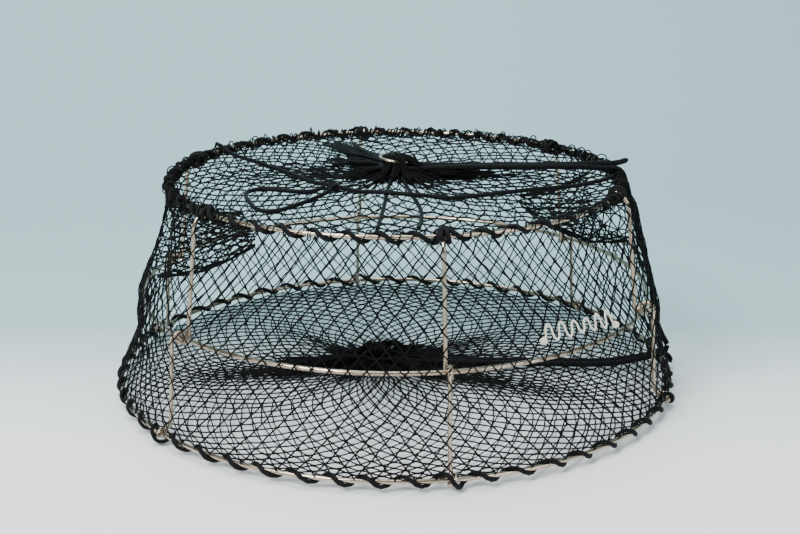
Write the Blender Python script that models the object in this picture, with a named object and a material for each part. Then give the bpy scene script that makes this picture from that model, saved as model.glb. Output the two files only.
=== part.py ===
"""Folding crab trap, built as separate pieces.

Three round steel rings stand one above the other, joined by six lower and six upper wire
struts whose ends hook round the rings. Lashing rope is wound round the bottom and the top
ring and holds the netting to them. A drawcord gathers the bottom net and the top net, and a
bridle lies on top. Pushing the top down leans the struts over, turns the middle ring and
nests the three rings in one flat stack.

Metres, +Z up. The origin is on the rings' common axis, on the plane the trap stands on, and
azimuths are measured from the front, -Y, towards +X.
"""

import math

import bmesh
import bpy
from mathutils import Vector

MM = 0.001

# Rings: radius of the wire's centreline, and the rise from each ring to the next.
BOTTOM_R = 297 * MM
MIDDLE_R = 270 * MM
TOP_R = 237 * MM
LOWER_RISE = 93 * MM
UPPER_RISE = 117 * MM
RING_WIRE_R = 2.25 * MM
RING_POINTS = 60

# Strut stations, the same on all three rings.
STATIONS = 6
FIRST_STATION = math.radians(10)
STATION_STEP = 2 * math.pi / STATIONS

# Struts. One end is an eye of EYE_R round the ring that carries the strut. The rod stands off
# that ring, so that it passes beside the lashing when it leans over. The other end is an open
# hook over the middle ring; it is open towards the rod, where the ring leaves it part way
# through the fold.
STRUT_WIRE_R = 2 * MM
EYE_R = 6.5 * MM
EYE_TURN = math.radians(300)
SLANT = math.radians(38)
ROD_STANDOFF = 12.5 * MM
HOOK_ROD_SIDE = 10 * MM
HOOK_OPEN_SIDE = 5.4 * MM
HOOK_REACH = 7.2 * MM
HOOK_TURN = math.radians(190)

# Lashing rope, a helix round the ring that bulges to pass over the strut hooks.
ROPE_R = 2.2 * MM
LASH_R = 5.3 * MM
LASH_BULGE = 5.9 * MM
LASH_REACH = 8 * MM
BOTTOM_TURNS = 54
TOP_TURNS = 48
POINTS_PER_TURN = 7

# Heights of the ring planes. The bottom one is what the lashing under it needs.
BOTTOM_Z = 10.72 * MM
MIDDLE_Z = BOTTOM_Z + LOWER_RISE
TOP_Z = MIDDLE_Z + UPPER_RISE

# Netting: plain solids of the space that the knotted twine takes up.
NET_T = 1.2 * MM
BOTTOM_NET_R = 281 * MM
BOTTOM_NET_Z = 4 * MM
TOP_NET_R = 220 * MM
SIDE_NET_SEGMENTS = 48

# The inside of the side net: height, radius between the stations, and how far each strut props
# it out beyond that. A prop fades over SIDE_NET_PROP_REACH of azimuth.
SIDE_NET_INSIDE = (
    (BOTTOM_Z + 18 * MM, BOTTOM_R - 4 * MM, 4 * MM),
    (BOTTOM_Z + 52 * MM, MIDDLE_R + 9 * MM, 9 * MM),
    (MIDDLE_Z, MIDDLE_R + 3.6 * MM, 9.2 * MM),
    (TOP_Z - 10 * MM, TOP_R + 2 * MM, 15 * MM),
)
SIDE_NET_PROP_REACH = math.radians(12)
GAP = 0.35 * MM

# Cords.
DRAWCORD_R = 3 * MM
BRIDLE_R = 2.2 * MM
STAY_R = 2 * MM
LACING_R = 1.25 * MM

# Gathers, where the drawcord pulls a net together.
BOTTOM_GATHER_XY = (-20 * MM, 5 * MM)
NECK_R = 10 * MM
DRAW_RING_R = 16 * MM
DRAW_RING_WIRE_R = 1.5 * MM
DRAW_RING_TILT = math.radians(8)

STEEL = ((0.62, 0.58, 0.50, 1), 0.28, 1.0)
TWINE = ((0.010, 0.012, 0.012, 1), 0.62, 0.0)
ROPE = ((0.008, 0.009, 0.010, 1), 0.55, 0.0)
COTTON = ((0.80, 0.74, 0.58, 1), 0.85, 0.0)


def clear_scene():
    for obj in list(bpy.data.objects):
        bpy.data.objects.remove(obj, do_unlink=True)


def at(radius, azimuth, z):
    """The point at this radius and azimuth (from -Y towards +X) and height."""
    return Vector((radius * math.sin(azimuth), -radius * math.cos(azimuth), z))


def local_axes(azimuth):
    """Unit vectors outwards, along the ring and up, at this azimuth."""
    outwards = at(1, azimuth, 0)
    along = Vector((math.cos(azimuth), math.sin(azimuth), 0))
    return outwards, along, Vector((0, 0, 1))


def paint(obj, finish):
    colour, roughness, metallic = finish
    material = bpy.data.materials.new(obj.name)
    material.use_nodes = True
    shader = material.node_tree.nodes["Principled BSDF"]
    shader.inputs["Base Color"].default_value = colour
    shader.inputs["Roughness"].default_value = roughness
    shader.inputs["Metallic"].default_value = metallic
    obj.data.materials.append(material)


def put(obj, finish, parent=None):
    bpy.context.scene.collection.objects.link(obj)
    paint(obj, finish)
    if parent:
        bpy.context.view_layer.update()
        obj.parent = parent
        obj.matrix_parent_inverse = parent.matrix_world.inverted()
    return obj


def axis_empty(name, location):
    empty = bpy.data.objects.new(name, None)
    bpy.context.scene.collection.objects.link(empty)
    empty.location = location
    bpy.context.view_layer.update()
    return empty


def wire(name, points, radius, finish, origin=(0, 0, 0), closed=False, resolution=2, parent=None):
    """A round wire or cord of this radius along the points, with flat ends."""
    curve = bpy.data.curves.new(name, "CURVE")
    curve.dimensions = "3D"
    curve.bevel_depth = radius
    curve.bevel_resolution = resolution
    curve.use_fill_caps = not closed
    curve.render_resolution_u = 0
    spline = curve.splines.new("POLY")
    spline.points.add(len(points) - 1)
    origin = Vector(origin)
    for point, place in zip(spline.points, points):
        point.co = (*(Vector(place) - origin), 1)
    spline.use_cyclic_u = closed
    spline.use_smooth = True
    obj = bpy.data.objects.new(name, curve)
    obj.location = origin
    return put(obj, finish, parent)


def turned(name, profile, centre, finish, segments=24, parent=None):
    """A solid of revolution about a vertical line; the profile starts and ends on it."""
    bm = bmesh.new()
    loops = []
    for radius, z in profile[1:-1]:
        loops.append([
            bm.verts.new((radius * math.cos(a), radius * math.sin(a), z))
            for a in (2 * math.pi * k / segments for k in range(segments))
        ])
    low = bm.verts.new((0, 0, profile[0][1]))
    high = bm.verts.new((0, 0, profile[-1][1]))
    for k in range(segments):
        n = (k + 1) % segments
        bm.faces.new((low, loops[0][n], loops[0][k]))
        bm.faces.new((high, loops[-1][k], loops[-1][n]))
        for below, above in zip(loops, loops[1:]):
            bm.faces.new((below[k], below[n], above[n], above[k]))
    mesh = bpy.data.meshes.new(name)
    bm.to_mesh(mesh)
    bm.free()
    mesh.shade_smooth()
    mesh.set_sharp_from_angle(angle=math.radians(40))
    obj = bpy.data.objects.new(name, mesh)
    obj.location = centre
    return put(obj, finish, parent)


def tube_wall(name, inside, outside, finish, parent=None):
    """A thin wall between two stacks of loops, which hold the same number of points."""
    bm = bmesh.new()
    inner = [[bm.verts.new(p) for p in loop] for loop in inside]
    outer = [[bm.verts.new(p) for p in loop] for loop in outside]
    count = len(inner[0])
    for k in range(count):
        n = (k + 1) % count
        for low, high in zip(inner, inner[1:]):
            bm.faces.new((low[k], high[k], high[n], low[n]))
        for low, high in zip(outer, outer[1:]):
            bm.faces.new((low[k], low[n], high[n], high[k]))
        bm.faces.new((inner[0][k], inner[0][n], outer[0][n], outer[0][k]))
        bm.faces.new((inner[-1][k], outer[-1][k], outer[-1][n], inner[-1][n]))
    bmesh.ops.recalc_face_normals(bm, faces=bm.faces)
    mesh = bpy.data.meshes.new(name)
    bm.to_mesh(mesh)
    bm.free()
    mesh.shade_smooth()
    mesh.set_sharp_from_angle(angle=math.radians(40))
    return put(bpy.data.objects.new(name, mesh), finish, parent)


def smooth_route(points, spacing):
    """Points about this far apart on a Catmull-Rom curve through the given points."""
    points = [Vector(p) for p in points]
    ends = [2 * points[0] - points[1]] + points + [2 * points[-1] - points[-2]]
    route = [points[0]]
    for a, b, c, d in zip(ends, ends[1:], ends[2:], ends[3:]):
        steps = max(1, round((c - b).length / spacing))
        for k in range(1, steps + 1):
            t = k / steps
            route.append(0.5 * (2 * b + (c - a) * t + (2 * a - 5 * b + 4 * c - d) * t ** 2
                                + (3 * b - a - 3 * c + d) * t ** 3))
    return route


# The steel frame

def ring(name, radius, z, parent=None):
    """A round of straight steel wire, butt-welded into a closed ring."""
    step = 2 * math.pi / RING_POINTS
    points = [at(radius, k * step, z) for k in range(RING_POINTS)]
    return wire(name, points, RING_WIRE_R, STEEL, (0, 0, z), True, 1, parent)


def strut(name, azimuth, ring_radius, ring_z, side, up, far, parent=None):
    """A straight wire with a hook over the middle ring at far and an eye round its own ring.

    Local x is outwards, y along the ring, z up. The rod lies on the given side of its own ring
    (+1 outside, -1 inside), on the other side of the middle ring, and in the direction up. Both
    bends cross their ring on the slant, half of the strut's whole lean.
    """
    slant = Vector((0, math.sin(SLANT), up * math.cos(SLANT)))
    half_width = (HOOK_ROD_SIDE + HOOK_OPEN_SIDE) / 2
    middle = far - Vector((side * (HOOK_ROD_SIDE - half_width), 0, 0))
    hook = []
    for k in range(8):
        turn = HOOK_TURN * (1 - k / 7)
        hook.append(middle + Vector((-side * half_width * math.cos(turn), 0, 0))
                    + slant * HOOK_REACH * math.sin(turn))
    rod = [
        far + Vector((-side * HOOK_ROD_SIDE, 0, -up * 9 * MM)),
        Vector((side * ROD_STANDOFF, 0, up * 15 * MM)),
        Vector((side * 11.8 * MM, 0, up * 10 * MM)),
        Vector((side * 9.6 * MM, 0, up * 5.5 * MM)),
        Vector((side * 7.3 * MM, 0, up * 1.8 * MM)),
    ]
    eye = []
    for k in range(11):
        turn = EYE_TURN * k / 10
        eye.append(Vector((side * EYE_R * math.cos(turn), 0, 0)) - slant * EYE_R * math.sin(turn))
    local = hook + rod + eye
    outwards, along, upwards = local_axes(azimuth)
    pivot = at(ring_radius, azimuth, ring_z)
    points = [pivot + p.x * outwards + p.y * along + p.z * upwards for p in local]
    return wire(name, points, STRUT_WIRE_R, STEEL, pivot, False, 1, parent)


def steel_frame(waist, lid):
    ring("bottom_ring", BOTTOM_R, BOTTOM_Z)
    ring("middle_ring", MIDDLE_R, MIDDLE_Z, waist)
    ring("top_ring", TOP_R, TOP_Z, lid)
    lower_far = Vector((MIDDLE_R - BOTTOM_R, 0, LOWER_RISE))
    upper_far = Vector((MIDDLE_R - TOP_R, 0, -UPPER_RISE))
    for k in range(STATIONS):
        azimuth = FIRST_STATION + k * STATION_STEP
        strut(f"lower_strut_{k + 1}", azimuth, BOTTOM_R, BOTTOM_Z, -1, 1, lower_far)
        strut(f"upper_strut_{k + 1}", azimuth, TOP_R, TOP_Z, 1, -1, upper_far, lid)


# Lashings

def lashing_points(radius, z, turns, side):
    """A rope wound round a ring; it passes each station on the given side, clear of the hook."""
    half_bay = STATION_STEP * radius / 2
    fine = 3 * MM
    coarse = 2 * math.pi * radius / turns / POINTS_PER_TURN
    reach = 5 * fine
    steps = round((half_bay - reach) / coarse)
    arcs = [-half_bay + (half_bay - reach) * k / steps for k in range(steps)]
    arcs += [-reach + fine * k for k in range(11)]
    arcs += [reach + (half_bay - reach) * k / steps for k in range(1, steps)]
    points = []
    for station in range(STATIONS):
        for arc in arcs:
            azimuth = FIRST_STATION + station * STATION_STEP + arc / radius
            turn = -turns * arc / radius + (0 if side > 0 else math.pi)
            off = LASH_R + LASH_BULGE * math.exp(-((arc / LASH_REACH) ** 4))
            points.append(at(radius + off * math.cos(turn), azimuth, z + off * math.sin(turn)))
    return points


def lashings(lid):
    wire("bottom_lashing", lashing_points(BOTTOM_R, BOTTOM_Z, BOTTOM_TURNS, 1), ROPE_R, ROPE,
         (0, 0, BOTTOM_Z), True, 0)
    wire("top_lashing", lashing_points(TOP_R, TOP_Z, TOP_TURNS, -1), ROPE_R, ROPE,
         (0, 0, TOP_Z), True, 0, lid)


# Netting

def net_disc(name, radius, z, parent=None):
    profile = [(0, 0), (radius, 0), (radius, NET_T), (0, NET_T)]
    return turned(name, profile, (0, 0, z), TWINE, SIDE_NET_SEGMENTS, parent)


def wall_radius(z):
    """The side net's inside radius between the stations, above the middle ring."""
    (low_z, low_r, _), (high_z, high_r, _) = SIDE_NET_INSIDE[-2:]
    return low_r + (high_r - low_r) * (z - low_z) / (high_z - low_z)


def side_net(waist):
    """A tube of netting from ring to ring, which each strut props out like a tent pole."""
    step = 2 * math.pi / SIDE_NET_SEGMENTS
    per_bay = SIDE_NET_SEGMENTS // STATIONS

    def propped(k):
        steps = min(k % per_bay, -k % per_bay)
        return math.exp(-(steps * step / SIDE_NET_PROP_REACH) ** 2)

    def loops(extra):
        return [[at(radius + prop * propped(k) + extra, FIRST_STATION + k * step, z)
                 for k in range(SIDE_NET_SEGMENTS)] for z, radius, prop in SIDE_NET_INSIDE]

    return tube_wall("side_net", loops(0), loops(NET_T), TWINE, parent=waist)


def entrance(name, azimuth, waist):
    """A net funnel from a wide mouth in the side net to a flat slit inside the trap."""
    mouth_half_angle = math.radians(14)
    mouth_low, mouth_high = MIDDLE_Z + 36 * MM, TOP_Z - 14 * MM
    slit_half_width, slit_half_height = 50 * MM, 9 * MM
    slit_radius, slit_z = 160 * MM, MIDDLE_Z + 70 * MM
    inset = 1.4 * MM
    count = 28
    outwards, along, upwards = local_axes(azimuth)

    def loop(share, shrink):
        points = []
        for k in range(count):
            turn = 2 * math.pi * k / count
            c, s = math.cos(turn), math.sin(turn)
            c = math.copysign(abs(c) ** 0.6, c)
            s = math.copysign(abs(s) ** 0.6, s)
            z = (mouth_low + mouth_high) / 2 + s * ((mouth_high - mouth_low) / 2 - shrink)
            wall = wall_radius(z) - inset
            mouth = at(wall, azimuth + c * (mouth_half_angle - shrink / wall), z)
            slit = (slit_radius * outwards + c * (slit_half_width - shrink) * along
                    + (slit_z + s * (slit_half_height - shrink)) * upwards)
            points.append(mouth.lerp(slit, share))
        return points

    shares = (0, 0.5, 1)
    return tube_wall(name, [loop(s, NET_T) for s in shares], [loop(s, 0) for s in shares], TWINE,
                     parent=waist)


def gather(name, centre, parent=None):
    """The bunch where a net is drawn together: a spread foot, a tied neck and a short tuft."""
    profile = [(0, 0), (27 * MM, 0), (24 * MM, 1.6 * MM), (13 * MM, 5 * MM), (NECK_R, 8 * MM),
               (NECK_R, 13.5 * MM), (12.6 * MM, 17 * MM), (9 * MM, 21 * MM), (0, 22 * MM)]
    return turned(name, profile, centre, TWINE, 16, parent)


def netting(waist, lid):
    net_disc("bottom_net", BOTTOM_NET_R, BOTTOM_NET_Z)
    net_disc("top_net", TOP_NET_R, TOP_Z - NET_T / 2, lid)
    side_net(waist)
    entrance("entrance_right", math.radians(105), waist)
    entrance("entrance_left", math.radians(285), waist)
    gather("bottom_gather", (*BOTTOM_GATHER_XY, BOTTOM_NET_Z + NET_T + GAP))
    gather("top_gather", (0, 0, TOP_Z + NET_T / 2 + GAP), lid)


def draw_ring(carriage):
    """The small steel ring that the neck of the top gather is pulled through."""
    centre = Vector((0, 0, TOP_Z + 19 * MM))
    points = []
    for k in range(24):
        turn = 2 * math.pi * k / 24
        x, y = DRAW_RING_R * math.cos(turn), DRAW_RING_R * math.sin(turn)
        points.append(centre + Vector((x, y, -x * math.tan(DRAW_RING_TILT))))
    return wire("draw_ring", points, DRAW_RING_WIRE_R, STEEL, centre, True, 1, carriage)


# Cords. Points are in millimetres here.

def in_metres(points):
    return [Vector(p) * MM for p in points]


TOP_MM = TOP_Z / MM
BOTTOM_MM = BOTTOM_Z / MM

TOP_DRAWCORD = [
    (250, 22, TOP_MM + 13.6), (241, 17.5, TOP_MM + 11.8), (230, 13, TOP_MM + 11.3),
    (205, 9.5, TOP_MM + 11.3), (180, 7.5, TOP_MM + 11.4), (120, 5, TOP_MM + 11.2),
    (60, 6, TOP_MM + 10.8), (26, 10, TOP_MM + 10.6),
    (8, 14.2, TOP_MM + 10.6), (-8, 12.8, TOP_MM + 10.6), (-14.8, 3, TOP_MM + 10.6),
    (-12.4, -8, TOP_MM + 10.6), (-3, -14.4, TOP_MM + 10.6), (14, -12, TOP_MM + 10.6),
    (60, -4.5, TOP_MM + 10.8), (120, -3, TOP_MM + 11.2), (180, -1, TOP_MM + 11),
    (206, 2, TOP_MM + 9.4), (222, 4.2, TOP_MM + 8.3), (232, 5.6, TOP_MM + 7.9),
    (238.1, 6.2, TOP_MM + 6.3), (241.3, 6.4, TOP_MM + 3.5), (243.7, 6.5, TOP_MM - 0.5),
    (245.9, 6.5, TOP_MM - 7),
]
SIDE_DRAWCORD = [
    (246.2, 6.5, TOP_MM - 7.8), (248.6, 6.4, TOP_MM - 15), (254, 6, TOP_MM - 35),
    (265, 5, TOP_MM - 70), (276.6, 4, TOP_MM - 108), (279.5, 3.5, TOP_MM - 119),
    (284.5, 2.4, BOTTOM_MM + 56), (291, 1.7, BOTTOM_MM + 38), (296.5, 1.2, BOTTOM_MM + 27),
    (300, 1, BOTTOM_MM + 20.8),
]
BOTTOM_DRAWCORD = [
    (300.5, 1, BOTTOM_MM + 18.2), (299, 0.8, BOTTOM_MM + 13), (294.9, 0.5, BOTTOM_MM + 8.9),
    (288.5, 0, BOTTOM_MM + 7), (277, -1.5, BOTTOM_MM + 5.4), (258, -4, 12.6), (220, -5, 9.2),
    (120, -1, 9), (30, 0, 10.5), (2, -3.5, 14.4), (-20, -9.6, 15.8), (-30.5, -5.2, 15.8),
    (-34.6, 4, 15.8), (-31, 14.2, 15.8), (-20, 19.6, 15.6), (-6, 17, 14.4), (30, 10.5, 10.5),
    (120, 7.5, 9), (220, 5, 9.2), (258, 5.5, 12.6), (281, 7, BOTTOM_MM + 5.4),
    (295, 8.2, BOTTOM_MM + 6.2), (301, 8.8, BOTTOM_MM + 5.4), (305.6, 9.2, BOTTOM_MM + 1.6),
    (308, 9.4, BOTTOM_MM - 5),
]
BRIDLE_KNOT = (-64, -70)
BRIDLE_LEFT_LEG = [
    (-204, 112, TOP_MM + 11.4), (-196, 104, TOP_MM + 9.5), (-182, 88, TOP_MM + 4),
    (-146, 46, TOP_MM + 3.2), (-111, -2, TOP_MM + 3.2), (-86, -40, TOP_MM + 3.4),
    (-69.5, -61.5, TOP_MM + 6),
]
BRIDLE_RIGHT_LEG = [
    (-56, -74, TOP_MM + 6), (-36, -89, TOP_MM + 5.4), (-16, -100, TOP_MM + 7.6),
    (8, -109, TOP_MM + 8), (28, -114, TOP_MM + 7.8), (52, -112, TOP_MM + 4.6), (84, -96, TOP_MM + 3.2),
    (116, -81, TOP_MM + 3.2), (146, -68, TOP_MM + 3.2), (180, -57, TOP_MM + 3.4),
    (212, -48, TOP_MM + 7.5), (224, -44, TOP_MM + 11),
]
BRIDLE_LOOP = [
    (-71, -74.5, TOP_MM + 7), (-84, -81, TOP_MM + 3.6), (-104, -79, TOP_MM + 3.2),
    (-124, -72, TOP_MM + 3.2), (-139, -72, TOP_MM + 3.2), (-148, -84, TOP_MM + 3.2),
    (-147, -104, TOP_MM + 3.2), (-140, -128, TOP_MM + 3.2), (-133, -148, TOP_MM + 3.2),
    (-123, -158, TOP_MM + 3.2), (-111, -155, TOP_MM + 3.2), (-97, -137, TOP_MM + 3.2),
    (-81, -111, TOP_MM + 3.2), (-69, -87, TOP_MM + 3.6), (-65, -79, TOP_MM + 5),
]
STAY_LEFT = [
    (-4, -28, TOP_MM + 4.6), (-7, -60, TOP_MM + 3), (-9, -101, TOP_MM + 2.9),
    (-12, -155, TOP_MM + 2.9), (-15, -200, TOP_MM + 2.9), (-16, -220, TOP_MM + 3.4),
]
STAY_RIGHT = [
    (7, -28, TOP_MM + 4.6), (12, -60, TOP_MM + 3), (18, -101, TOP_MM + 2.9),
    (24, -150, TOP_MM + 2.9), (24, -190, TOP_MM + 2.9), (21, -219, TOP_MM + 3.4),
]


def cords(waist, lid):
    def cord(name, route, radius, spacing, parent=None):
        points = smooth_route(in_metres(route), spacing)
        wire(name, points, radius, ROPE, points[0], False, 2, parent)

    cord("drawcord_top", TOP_DRAWCORD, DRAWCORD_R, 16 * MM, lid)
    cord("drawcord_side", SIDE_DRAWCORD, DRAWCORD_R, 16 * MM, waist)
    cord("drawcord_bottom", BOTTOM_DRAWCORD, DRAWCORD_R, 16 * MM)
    cord("bridle_left_leg", BRIDLE_LEFT_LEG, BRIDLE_R, 12 * MM, lid)
    cord("bridle_right_leg", BRIDLE_RIGHT_LEG, BRIDLE_R, 12 * MM, lid)
    cord("bridle_loop", BRIDLE_LOOP, BRIDLE_R, 11 * MM, lid)
    cord("stay_left", STAY_LEFT, STAY_R, 14 * MM, lid)
    cord("stay_right", STAY_RIGHT, STAY_R, 14 * MM, lid)
    knot = [(0, 0), (4 * MM, 0.6 * MM), (5.6 * MM, 4 * MM), (4.6 * MM, 8 * MM), (0, 9.4 * MM)]
    turned("bridle_knot", knot, Vector((*BRIDLE_KNOT, TOP_MM + 1)) * MM, ROPE, 12, lid)


def escape_lacing(waist):
    """Cotton twine that sews up the escape slit; it rots away if the trap is lost."""
    stitches, points_per_stitch = 6, 10
    start, end = math.radians(30), math.radians(50.5)
    centre_z, half_height = MIDDLE_Z + 24.5 * MM, 7.6 * MM
    stand_off = 7.5 * MM
    count = stitches * points_per_stitch + 1
    points = []
    for k in range(count):
        share = k / (count - 1)
        z = centre_z - 5 * MM * share - half_height * math.cos(2 * math.pi * stitches * share)
        points.append(at(wall_radius(z) + stand_off, start + (end - start) * share, z))
    return wire("escape_lacing", points, LACING_R, COTTON, points[0], False, 0, waist)


def build():
    clear_scene()
    waist = axis_empty("waist_axis", (0, 0, MIDDLE_Z))
    carriage = axis_empty("carriage_axis", (0, 0, TOP_Z))
    lid = axis_empty("lid_axis", (0, 0, TOP_Z))
    steel_frame(waist, lid)
    lashings(lid)
    netting(waist, lid)
    draw_ring(carriage)
    cords(waist, lid)
    escape_lacing(waist)


build()
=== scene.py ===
"""Folding crab trap.

Three steel rings on hinged wire struts, netting lashed to them with rope, a drawcord that
gathers the bottom and the top net, and a bridle on top. Metres, +Z up. Azimuths are measured
from the front, -Y, towards +X.
"""

import math

import bpy
import numpy as np
from mathutils import Matrix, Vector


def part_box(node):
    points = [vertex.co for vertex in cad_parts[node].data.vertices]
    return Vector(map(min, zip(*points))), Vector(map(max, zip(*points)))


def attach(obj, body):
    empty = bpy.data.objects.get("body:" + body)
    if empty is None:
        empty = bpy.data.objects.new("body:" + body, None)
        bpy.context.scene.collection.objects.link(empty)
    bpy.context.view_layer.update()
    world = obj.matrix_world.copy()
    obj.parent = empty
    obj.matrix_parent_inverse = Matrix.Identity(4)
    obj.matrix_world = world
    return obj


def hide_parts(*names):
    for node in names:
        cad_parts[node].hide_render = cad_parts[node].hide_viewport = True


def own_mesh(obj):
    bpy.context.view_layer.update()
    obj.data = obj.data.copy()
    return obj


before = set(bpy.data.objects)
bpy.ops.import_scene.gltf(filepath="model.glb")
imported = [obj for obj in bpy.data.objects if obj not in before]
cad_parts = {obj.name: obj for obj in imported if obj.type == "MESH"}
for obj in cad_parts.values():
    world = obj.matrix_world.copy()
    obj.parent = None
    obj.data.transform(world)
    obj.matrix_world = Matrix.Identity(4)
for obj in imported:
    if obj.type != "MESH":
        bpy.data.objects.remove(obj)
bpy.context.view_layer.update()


# The camera looks down at the trap from the front, from a little above its top.
eye = np.array((0.0, -1.367, 0.5433))
yaw, pitch, roll = np.radians((0.21, 17.21, 0.10))
ahead = np.array((math.sin(yaw) * math.cos(pitch), math.cos(yaw) * math.cos(pitch),
                  -math.sin(pitch)))
level = np.cross(ahead, (0, 0, 1))
level /= np.linalg.norm(level)
upright = np.cross(level, ahead)
right = math.cos(roll) * level + math.sin(roll) * upright
above = math.cos(roll) * upright - math.sin(roll) * level
lens = bpy.data.cameras.new("camera")
lens.sensor_width = 36
lens.lens = 59.4
camera = bpy.data.objects.new("camera", lens)
bpy.context.scene.collection.objects.link(camera)
pose = np.eye(4)
pose[:3] = np.stack([right, above, -ahead, eye], -1)
camera.matrix_world = Matrix(pose)
bpy.context.scene.camera = camera


# Drawcord. One 6 mm braided cord: it comes in from the top ring, goes round the neck of the top
# gather and back, over the rim and down the outside of the netting, in over the bottom ring,
# round the neck of the bottom gather and out again. Its two ends are cut and melted.
MM = 0.001
bottom_z = float(np.mean([corner[2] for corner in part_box("bottom_ring")]))
middle_z = float(np.mean([corner[2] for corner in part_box("middle_ring")]))
top_z = float(np.mean([corner[2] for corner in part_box("top_ring")]))
HIGH = top_z / MM
LOW = bottom_z / MM


def at(radius, azimuth, z):
    """Points at this radius, azimuth and height: (r sin a, -r cos a, z)."""
    radius, azimuth, z = np.broadcast_arrays(radius, azimuth, z)
    return np.stack([radius * np.sin(azimuth), -radius * np.cos(azimuth), z], -1).astype(float)


def through(points, spacing):
    """A smooth line through the points: on each span the cubic whose slope at a point is half
    the step between its two neighbours, sampled about every `spacing`."""
    points = np.asarray(points, float)
    held = np.concatenate([[2 * points[0] - points[1]], points, [2 * points[-1] - points[-2]]])
    a, b, c, d = held[:-3], held[1:-2], held[2:-1], held[3:]
    steps = np.maximum(1, np.round(np.linalg.norm(c - b, axis=1) / spacing)).astype(int)
    span = np.repeat(np.arange(len(steps)), steps)
    t = (np.arange(len(span)) - np.repeat(np.cumsum(steps) - steps, steps)) / steps[span]
    t = t[:, None]
    a, b, c, d = a[span], b[span], c[span], d[span]
    line = 0.5 * (2 * b + (c - a) * t + (2 * a - 5 * b + 4 * c - d) * t ** 2
                  + (3 * b - a - 3 * c + d) * t ** 3)
    return np.concatenate([line, points[-1:]])


def line_length(line):
    return float(np.linalg.norm(np.diff(line, axis=0), axis=1).sum())


def solid(name, points, faces, uv=None):
    """A smooth-shaded mesh from points and a list of index arrays, one row for each face."""
    mesh = bpy.data.meshes.new(name)
    corners = np.concatenate([f.ravel() for f in faces])
    sizes = np.concatenate([np.full(len(f), f.shape[1]) for f in faces])
    mesh.vertices.add(len(points))
    mesh.vertices.foreach_set("co", np.ascontiguousarray(points, np.float32).ravel())
    mesh.loops.add(len(corners))
    mesh.loops.foreach_set("vertex_index", corners.astype(np.int32))
    mesh.polygons.add(len(sizes))
    mesh.polygons.foreach_set("loop_start", (np.cumsum(sizes) - sizes).astype(np.int32))
    if uv is not None:
        layer = mesh.uv_layers.new(name="UVMap")
        layer.data.foreach_set("uv", np.ascontiguousarray(uv, np.float32).ravel())
    mesh.update(calc_edges=True)
    mesh.shade_smooth()
    made = bpy.data.objects.new(name, mesh)
    bpy.context.scene.collection.objects.link(made)
    return made


def tubes(paths, radius, sides, reference, closed=False):
    """Tubes along paths, an array (tube, point, xyz): at each point a ring of
    centre + r (cos a n + sin a b), where n is the reference made square to the path and b is
    the path's direction times n. The map is (distance along, share of a turn)."""
    paths = np.asarray(paths, float)
    count, length = paths.shape[:2]
    if closed:
        along = np.roll(paths, -1, 1) - np.roll(paths, 1, 1)
    else:
        along = np.gradient(paths, axis=1)
    along /= np.linalg.norm(along, axis=2, keepdims=True)
    normal = np.broadcast_to(reference, paths.shape)
    normal = normal - (normal * along).sum(2, keepdims=True) * along
    normal /= np.linalg.norm(normal, axis=2, keepdims=True)
    other = np.cross(along, normal)
    turn = 2 * np.pi * np.arange(sides) / sides
    reach = np.broadcast_to(radius, (count, length, sides))[..., None]
    ring = paths[:, :, None] + reach * (np.cos(turn)[:, None] * normal[:, :, None]
                                        + np.sin(turn)[:, None] * other[:, :, None])
    index = np.arange(count * length * sides).reshape(count, length, sides)
    near = index if closed else index[:, :-1]
    far = np.roll(index, -1, 1) if closed else index[:, 1:]
    quads = np.stack([near, np.roll(near, -1, 2), np.roll(far, -1, 2), far], -1).reshape(-1, 4)
    step = np.linalg.norm(np.roll(paths, -1, 1) - paths, axis=2)
    travel = np.concatenate([np.zeros((count, 1)), np.cumsum(step, 1)], 1)
    start, stop = travel[:, :near.shape[1], None], travel[:, 1:near.shape[1] + 1, None]
    low = np.broadcast_to(np.arange(sides) / sides, near.shape)
    start, stop = np.broadcast_to(start, near.shape), np.broadcast_to(stop, near.shape)
    uv = np.stack([np.stack([start, low], -1), np.stack([start, low + 1 / sides], -1),
                   np.stack([stop, low + 1 / sides], -1), np.stack([stop, low], -1)], -2)
    uv = uv.reshape(-1, 2)
    faces = [quads]
    if not closed:
        faces += [index[:, 0, ::-1], index[:, -1]]
        uv = np.concatenate([uv, np.zeros((2 * count * sides, 2))])
    return ring.reshape(-1, 3), faces, uv


def joined(*parts):
    """Several (points, faces, uv) made one."""
    points, faces, uv, first = [], [], [], 0
    for part_points, part_faces, part_uv in parts:
        points.append(part_points)
        faces += [f + first for f in part_faces]
        uv.append(part_uv)
        first += len(part_points)
    return np.concatenate(points), faces, np.concatenate(uv)


# The specular level of matt black cord, rope and twine.
DULL = 0.07


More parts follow.
